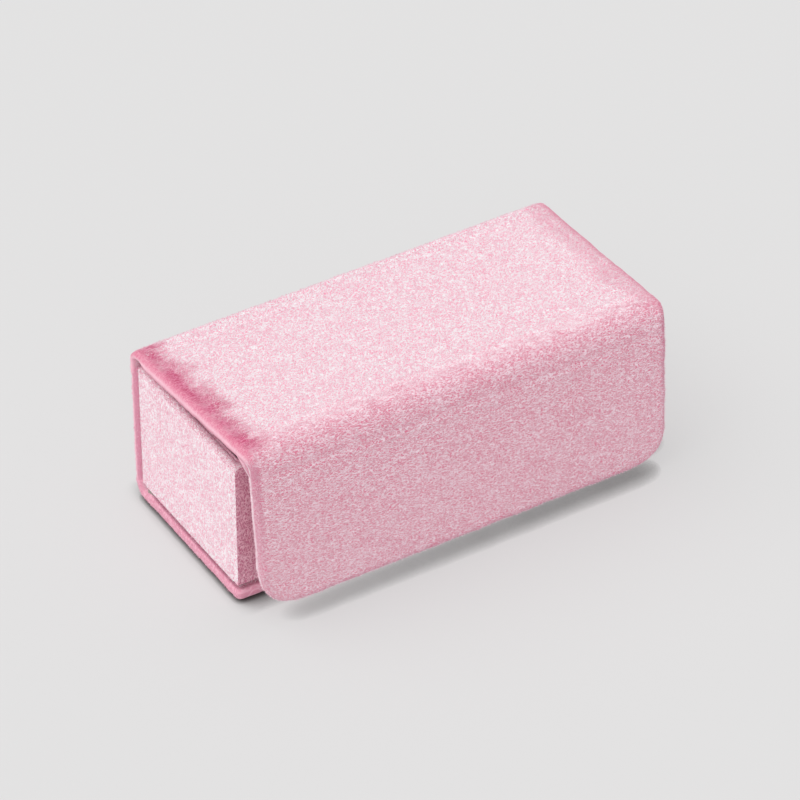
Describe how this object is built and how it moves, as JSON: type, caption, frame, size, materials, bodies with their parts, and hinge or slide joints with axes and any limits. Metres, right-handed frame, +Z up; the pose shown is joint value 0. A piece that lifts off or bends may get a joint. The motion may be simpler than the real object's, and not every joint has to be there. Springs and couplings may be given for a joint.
{
  "type": "jewelry box",
  "caption": "Long velvet jewelry box with a foldover lid and hanging magnetic front flap, over a velvet tray with a ring bay and plain bays.",
  "frame": {"origin": "middle of the base's flat underside", "axes": "+X along the length of the box, -Y towards the front flap, +Z up"},
  "size_m": [0.17, 0.0879, 0.0689],
  "materials": {
    "cover_velvet": "short-pile crushed velvet, pink",
    "tray_velvet": "short-pile velvet with an upright nap, pale pink",
    "lining_velvet": "short-pile velvet, pink",
    "greyboard": "plain grey board",
    "foam": "soft open foam",
    "magnet": "nickel-plated disc magnet",
    "steel": "plain steel disc"
  },
  "bodies": {
    "base": {"base_board": "greyboard", "base_wadding": "foam", "base_velvet": "cover_velvet", "spine_board": "greyboard", "spine_velvet": "cover_velvet", "tray_floor_board": "greyboard", "tray_front_board": "greyboard", "tray_back_board": "greyboard", "tray_left_board": "greyboard", "tray_right_board": "greyboard", "tray_wrap_velvet": "tray_velvet", "tray_left_end_velvet": "tray_velvet", "tray_right_end_velvet": "tray_velvet", "tray_lining": "lining_velvet", "tray_keepers": "steel", "ring_divider_board": "greyboard", "ring_divider_velvet": "lining_velvet", "middle_divider_board": "greyboard", "middle_divider_velvet": "lining_velvet", "middle_bay_pad": "lining_velvet", "right_bay_pad": "lining_velvet", "ring_foam": "foam", "ring_roll_1": "lining_velvet", "ring_roll_2": "lining_velvet", "ring_roll_3": "lining_velvet", "ring_roll_4": "lining_velvet", "ring_roll_5": "lining_velvet", "ring_roll_6": "lining_velvet", "ring_roll_7": "lining_velvet"},
    "lid": {"lid_board": "greyboard", "lid_wadding": "foam", "lid_lining": "lining_velvet", "lid_velvet": "cover_velvet"},
    "flap": {"flap_board": "greyboard", "flap_wadding": "foam", "flap_lining": "lining_velvet", "flap_velvet": "cover_velvet", "flap_magnets": "magnet"}
  },
  "joints": [
    {"name": "lid_hinge", "type": "hinge", "parent": "base", "child": "lid", "pos_m": [0, 0.03485, 0.06272], "axis": [-1, 0, 0], "range_deg": [-3.2, 170]},
    {"name": "flap_hinge", "type": "hinge", "parent": "lid", "child": "flap", "pos_m": [0, -0.04475, 0.06721], "axis": [-1, 0, 0], "range_deg": [-5.5, 165]}
  ]
}
